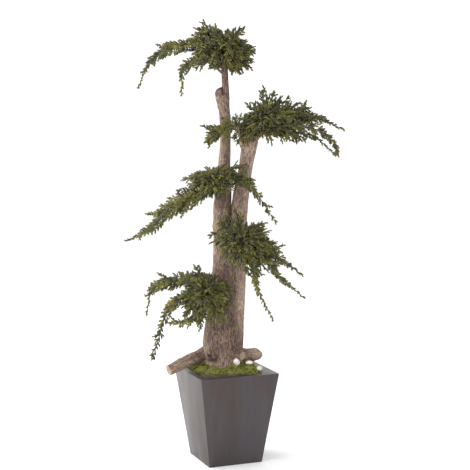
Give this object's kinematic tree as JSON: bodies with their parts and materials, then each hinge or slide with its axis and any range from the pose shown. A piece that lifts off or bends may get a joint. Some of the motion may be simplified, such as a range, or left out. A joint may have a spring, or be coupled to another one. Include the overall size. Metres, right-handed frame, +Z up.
{
  "type": "preserved juniper tree in a tapered square pot",
  "caption": "Tall preserved juniper tree: a natural trunk with fused stems and cloud-like weeping clusters of foliage, in a dark tapered square metal pot with moss",
  "frame": {"origin": "middle of the pot's underside, on the ground", "axes": "+Z up; the pot's flat sides lie along X and Y; -Y is the large pot face in the picture, and the tree's broad side is turned 21.9 degrees clockwise from X"},
  "size_m": [1.0505, 0.6055, 2.1386],
  "materials": {
    "metal": "satin",
    "planting_fill": "matte",
    "moss": "matte",
    "bark": "matte",
    "foliage": "matte",
    "pebble": "satin"
  },
  "bodies": {
    "root": {"pot": "metal", "fill": "planting_fill", "moss": "moss", "trunk": "bark", "left_stem": "bark", "right_stem": "bark", "top_stem": "bark", "snag": "bark", "left_log": "bark", "right_log": "bark", "cut_stub": "bark", "top_arm_bough": "bark", "top_trail_bough": "bark", "right_arm_bough": "bark", "right_trail_bough": "bark", "right_drop_bough": "bark", "middle_bough": "bark", "middle_arm_bough": "bark", "middle_trail_bough": "bark", "middle_back_bough": "bark", "low_right_bough": "bark", "low_right_trail_bough": "bark", "low_right_back_bough": "bark", "low_left_bough": "bark", "low_left_trail_bough": "bark", "low_left_drop_bough": "bark", "low_left_back_bough": "bark", "top_arm": "foliage", "top_trail": "foliage", "right_arm": "foliage", "right_trail_high": "foliage", "right_trail_low": "foliage", "middle_arm": "foliage", "middle_trail": "foliage", "low_right_trails": "foliage", "low_left_arm": "foliage", "low_left_drop": "foliage", "top_crown": "foliage", "right_crown": "foliage", "middle_crown": "foliage", "middle_crown_back": "foliage", "low_right_crown": "foliage", "low_right_crown_back": "foliage", "low_left_crown": "foliage", "low_left_crown_back": "foliage", "pebble_1": "pebble", "pebble_2": "pebble", "pebble_3": "pebble"}
  },
  "joints": []
}
